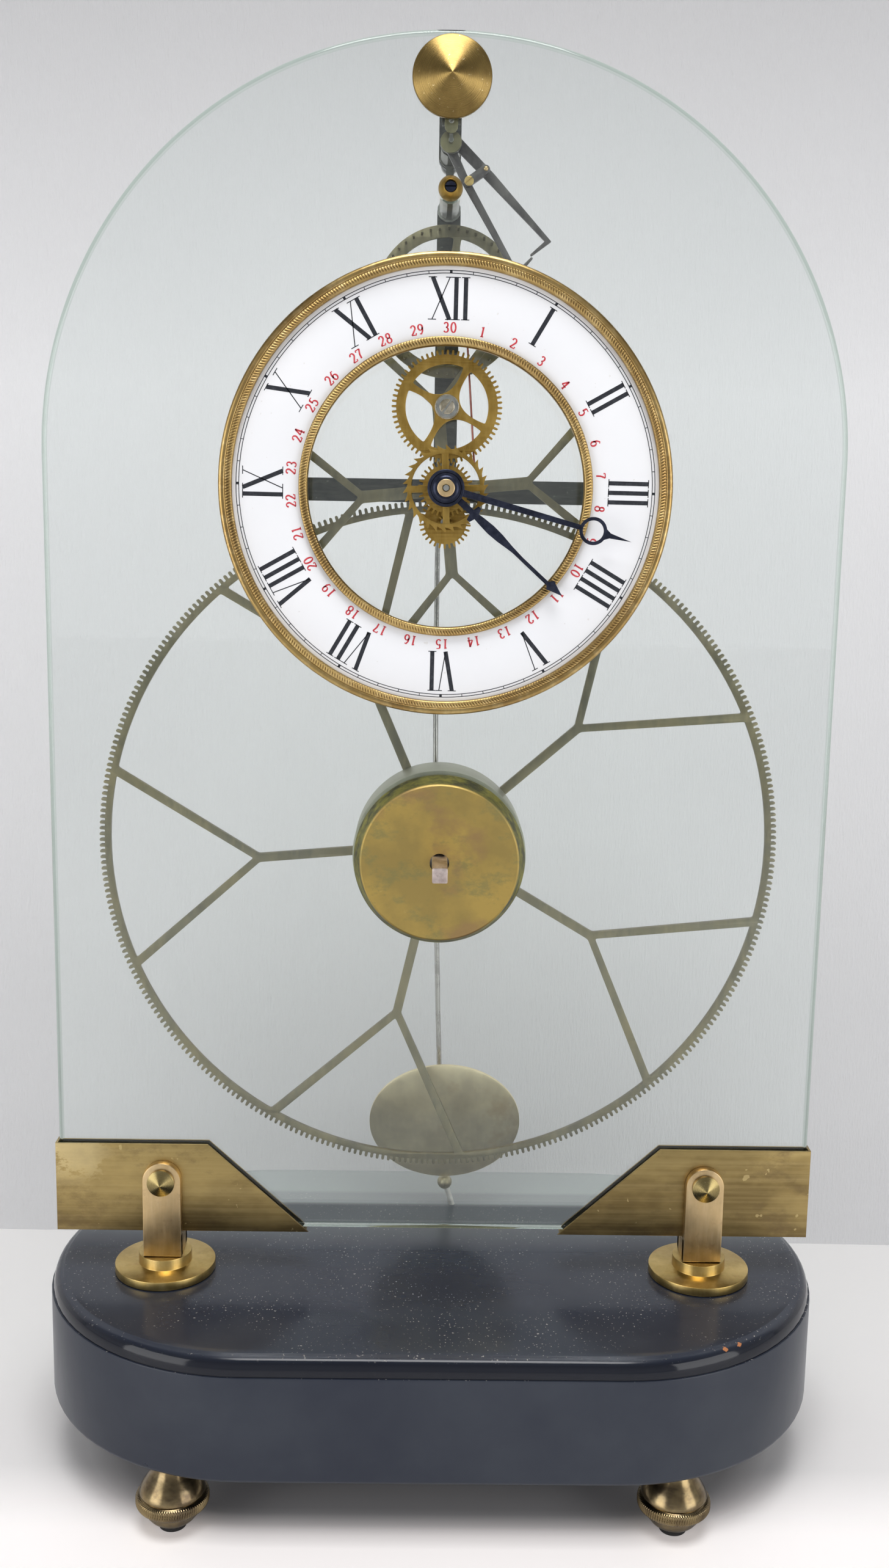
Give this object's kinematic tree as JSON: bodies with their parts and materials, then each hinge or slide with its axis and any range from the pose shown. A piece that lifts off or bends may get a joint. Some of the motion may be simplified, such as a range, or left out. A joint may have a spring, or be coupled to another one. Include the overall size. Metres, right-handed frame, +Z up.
{
  "type": "skeleton clock",
  "caption": "Skeleton clock with a large great wheel, open dial, pin-wheel escapement and pendulum on an arched glass plate over a black base.",
  "frame": {"origin": "centre of the clock's box, on the surface that the four feet stand on", "axes": "+Z up, -Y towards the front with the dial, +X to the right seen from the front"},
  "size_m": [0.2834, 0.1566, 0.4986],
  "materials": {
    "black_lacquer": "gloss black lacquer",
    "antique_brass": "brushed and aged",
    "polished_brass": "polished",
    "bronze_brass": "reddish, satin",
    "clear_glass": "clear, polished edges",
    "gilt": "gilt",
    "white_enamel": "white enamel",
    "golden_brass": "golden, satin",
    "wheel_brass": "olive, dull",
    "dark_steel": "dark",
    "grey_metal": "satin",
    "blued_steel": "blued",
    "copper_wire": "copper"
  },
  "bodies": {
    "stand": {"wood_base": "black_lacquer", "foot_front_left": "antique_brass", "foot_front_right": "antique_brass", "foot_rear_left": "antique_brass", "foot_rear_right": "antique_brass", "shoe_left": "antique_brass", "shoe_right": "antique_brass", "flange_left": "polished_brass", "flange_right": "polished_brass", "post_bolt_left": "polished_brass", "post_bolt_right": "polished_brass", "post_left": "bronze_brass", "post_right": "bronze_brass", "glass_plate": "clear_glass", "outer_bezel": "gilt", "inner_bezel": "gilt", "chapter_ring": "white_enamel", "dial_foot_1": "golden_brass", "dial_foot_2": "golden_brass", "dial_foot_3": "golden_brass", "ball_nut": "golden_brass", "cone_nut": "golden_brass", "drum_cover": "golden_brass", "barrel_bush": "golden_brass", "steel_frame": "dark_steel", "rear_cock": "dark_steel", "top_pillar": "grey_metal", "side_pillar_left": "grey_metal", "side_pillar_right": "grey_metal", "front_cock": "grey_metal", "click_spring": "grey_metal", "minute_stud": "grey_metal", "day_stud": "grey_metal", "date_detent": "copper_wire"},
    "centre_group": {"centre_arbor": "grey_metal", "centre_wheel": "wheel_brass", "cannon_pinion": "grey_metal", "minute_hand": "blued_steel", "hand_nut": "grey_metal"},
    "great_group": {"great_wheel": "wheel_brass", "barrel": "golden_brass", "mainspring": "dark_steel"},
    "winding_group": {"winding_arbor": "grey_metal", "ratchet_wheel": "grey_metal"},
    "click_group": {"click": "grey_metal"},
    "minute_group": {"minute_wheel": "golden_brass"},
    "hour_group": {"hour_wheel": "golden_brass", "hour_hand": "blued_steel"},
    "day_group": {"day_wheel": "golden_brass"},
    "date_group": {"date_wheel": "golden_brass", "date_hand": "blued_steel"},
    "escape_group": {"escape_wheel": "wheel_brass", "escape_arbor": "grey_metal"},
    "pallet_group": {"pallet_arbor": "grey_metal", "long_pallet": "dark_steel", "short_pallet": "dark_steel", "pallet_link": "dark_steel"},
    "pendulum_group": {"pendulum_rod": "grey_metal", "pendulum_bob": "wheel_brass", "rating_nut": "wheel_brass"}
  },
  "joints": [
    {"name": "centre_turn", "type": "hinge", "parent": "stand", "child": "centre_group", "pos_m": [0, -0.0175, 0.35328], "axis": [0, 1, 0], "continuous": true},
    {"name": "great_turn", "type": "hinge", "parent": "stand", "child": "great_group", "pos_m": [0, -0.0175, 0.22596], "axis": [0, 1, 0], "continuous": true},
    {"name": "winding_turn", "type": "hinge", "parent": "stand", "child": "winding_group", "pos_m": [0, -0.0175, 0.22596], "axis": [0, 1, 0], "continuous": true},
    {"name": "minute_wheel_turn", "type": "hinge", "parent": "stand", "child": "minute_group", "pos_m": [0, -0.0175, 0.34218], "axis": [0, 1, 0], "continuous": true},
    {"name": "hour_turn", "type": "hinge", "parent": "stand", "child": "hour_group", "pos_m": [0, -0.0175, 0.35328], "axis": [0, 1, 0], "continuous": true},
    {"name": "day_wheel_turn", "type": "hinge", "parent": "stand", "child": "day_group", "pos_m": [0, -0.0175, 0.37992], "axis": [0, 1, 0], "continuous": true},
    {"name": "date_turn", "type": "hinge", "parent": "stand", "child": "date_group", "pos_m": [0, -0.0175, 0.35328], "axis": [0, 1, 0], "continuous": true},
    {"name": "escape_turn", "type": "hinge", "parent": "stand", "child": "escape_group", "pos_m": [0, -0.0175, 0.41688], "axis": [0, 1, 0], "continuous": true},
    {"name": "pendulum_swing", "type": "hinge", "parent": "stand", "child": "pendulum_group", "pos_m": [0, -0.0175, 0.46578], "axis": [0, 1, 0], "range_deg": [-3, 3]},
    {"name": "pallet_rock", "type": "hinge", "parent": "stand", "child": "pallet_group", "pos_m": [0, -0.0175, 0.46578], "axis": [0, 1, 0], "range_deg": [-3, 3]},
    {"name": "click_lift", "type": "hinge", "parent": "stand", "child": "click_group", "pos_m": [0.008, -0.0175, 0.23906], "axis": [0, 1, 0], "range_deg": [0, 7]}
  ],
  "couplings": [
    {"joint": "great_turn", "follows": "centre_turn", "ratio": -0.033333},
    {"joint": "minute_wheel_turn", "follows": "centre_turn", "ratio": -0.33333},
    {"joint": "hour_turn", "follows": "centre_turn", "ratio": 0.083333},
    {"joint": "day_wheel_turn", "follows": "centre_turn", "ratio": -0.041667},
    {"joint": "date_turn", "follows": "centre_turn", "ratio": 0.0013889},
    {"joint": "escape_turn", "follows": "centre_turn", "ratio": -15},
    {"joint": "pallet_rock", "follows": "pendulum_swing", "ratio": 1}
  ]
}
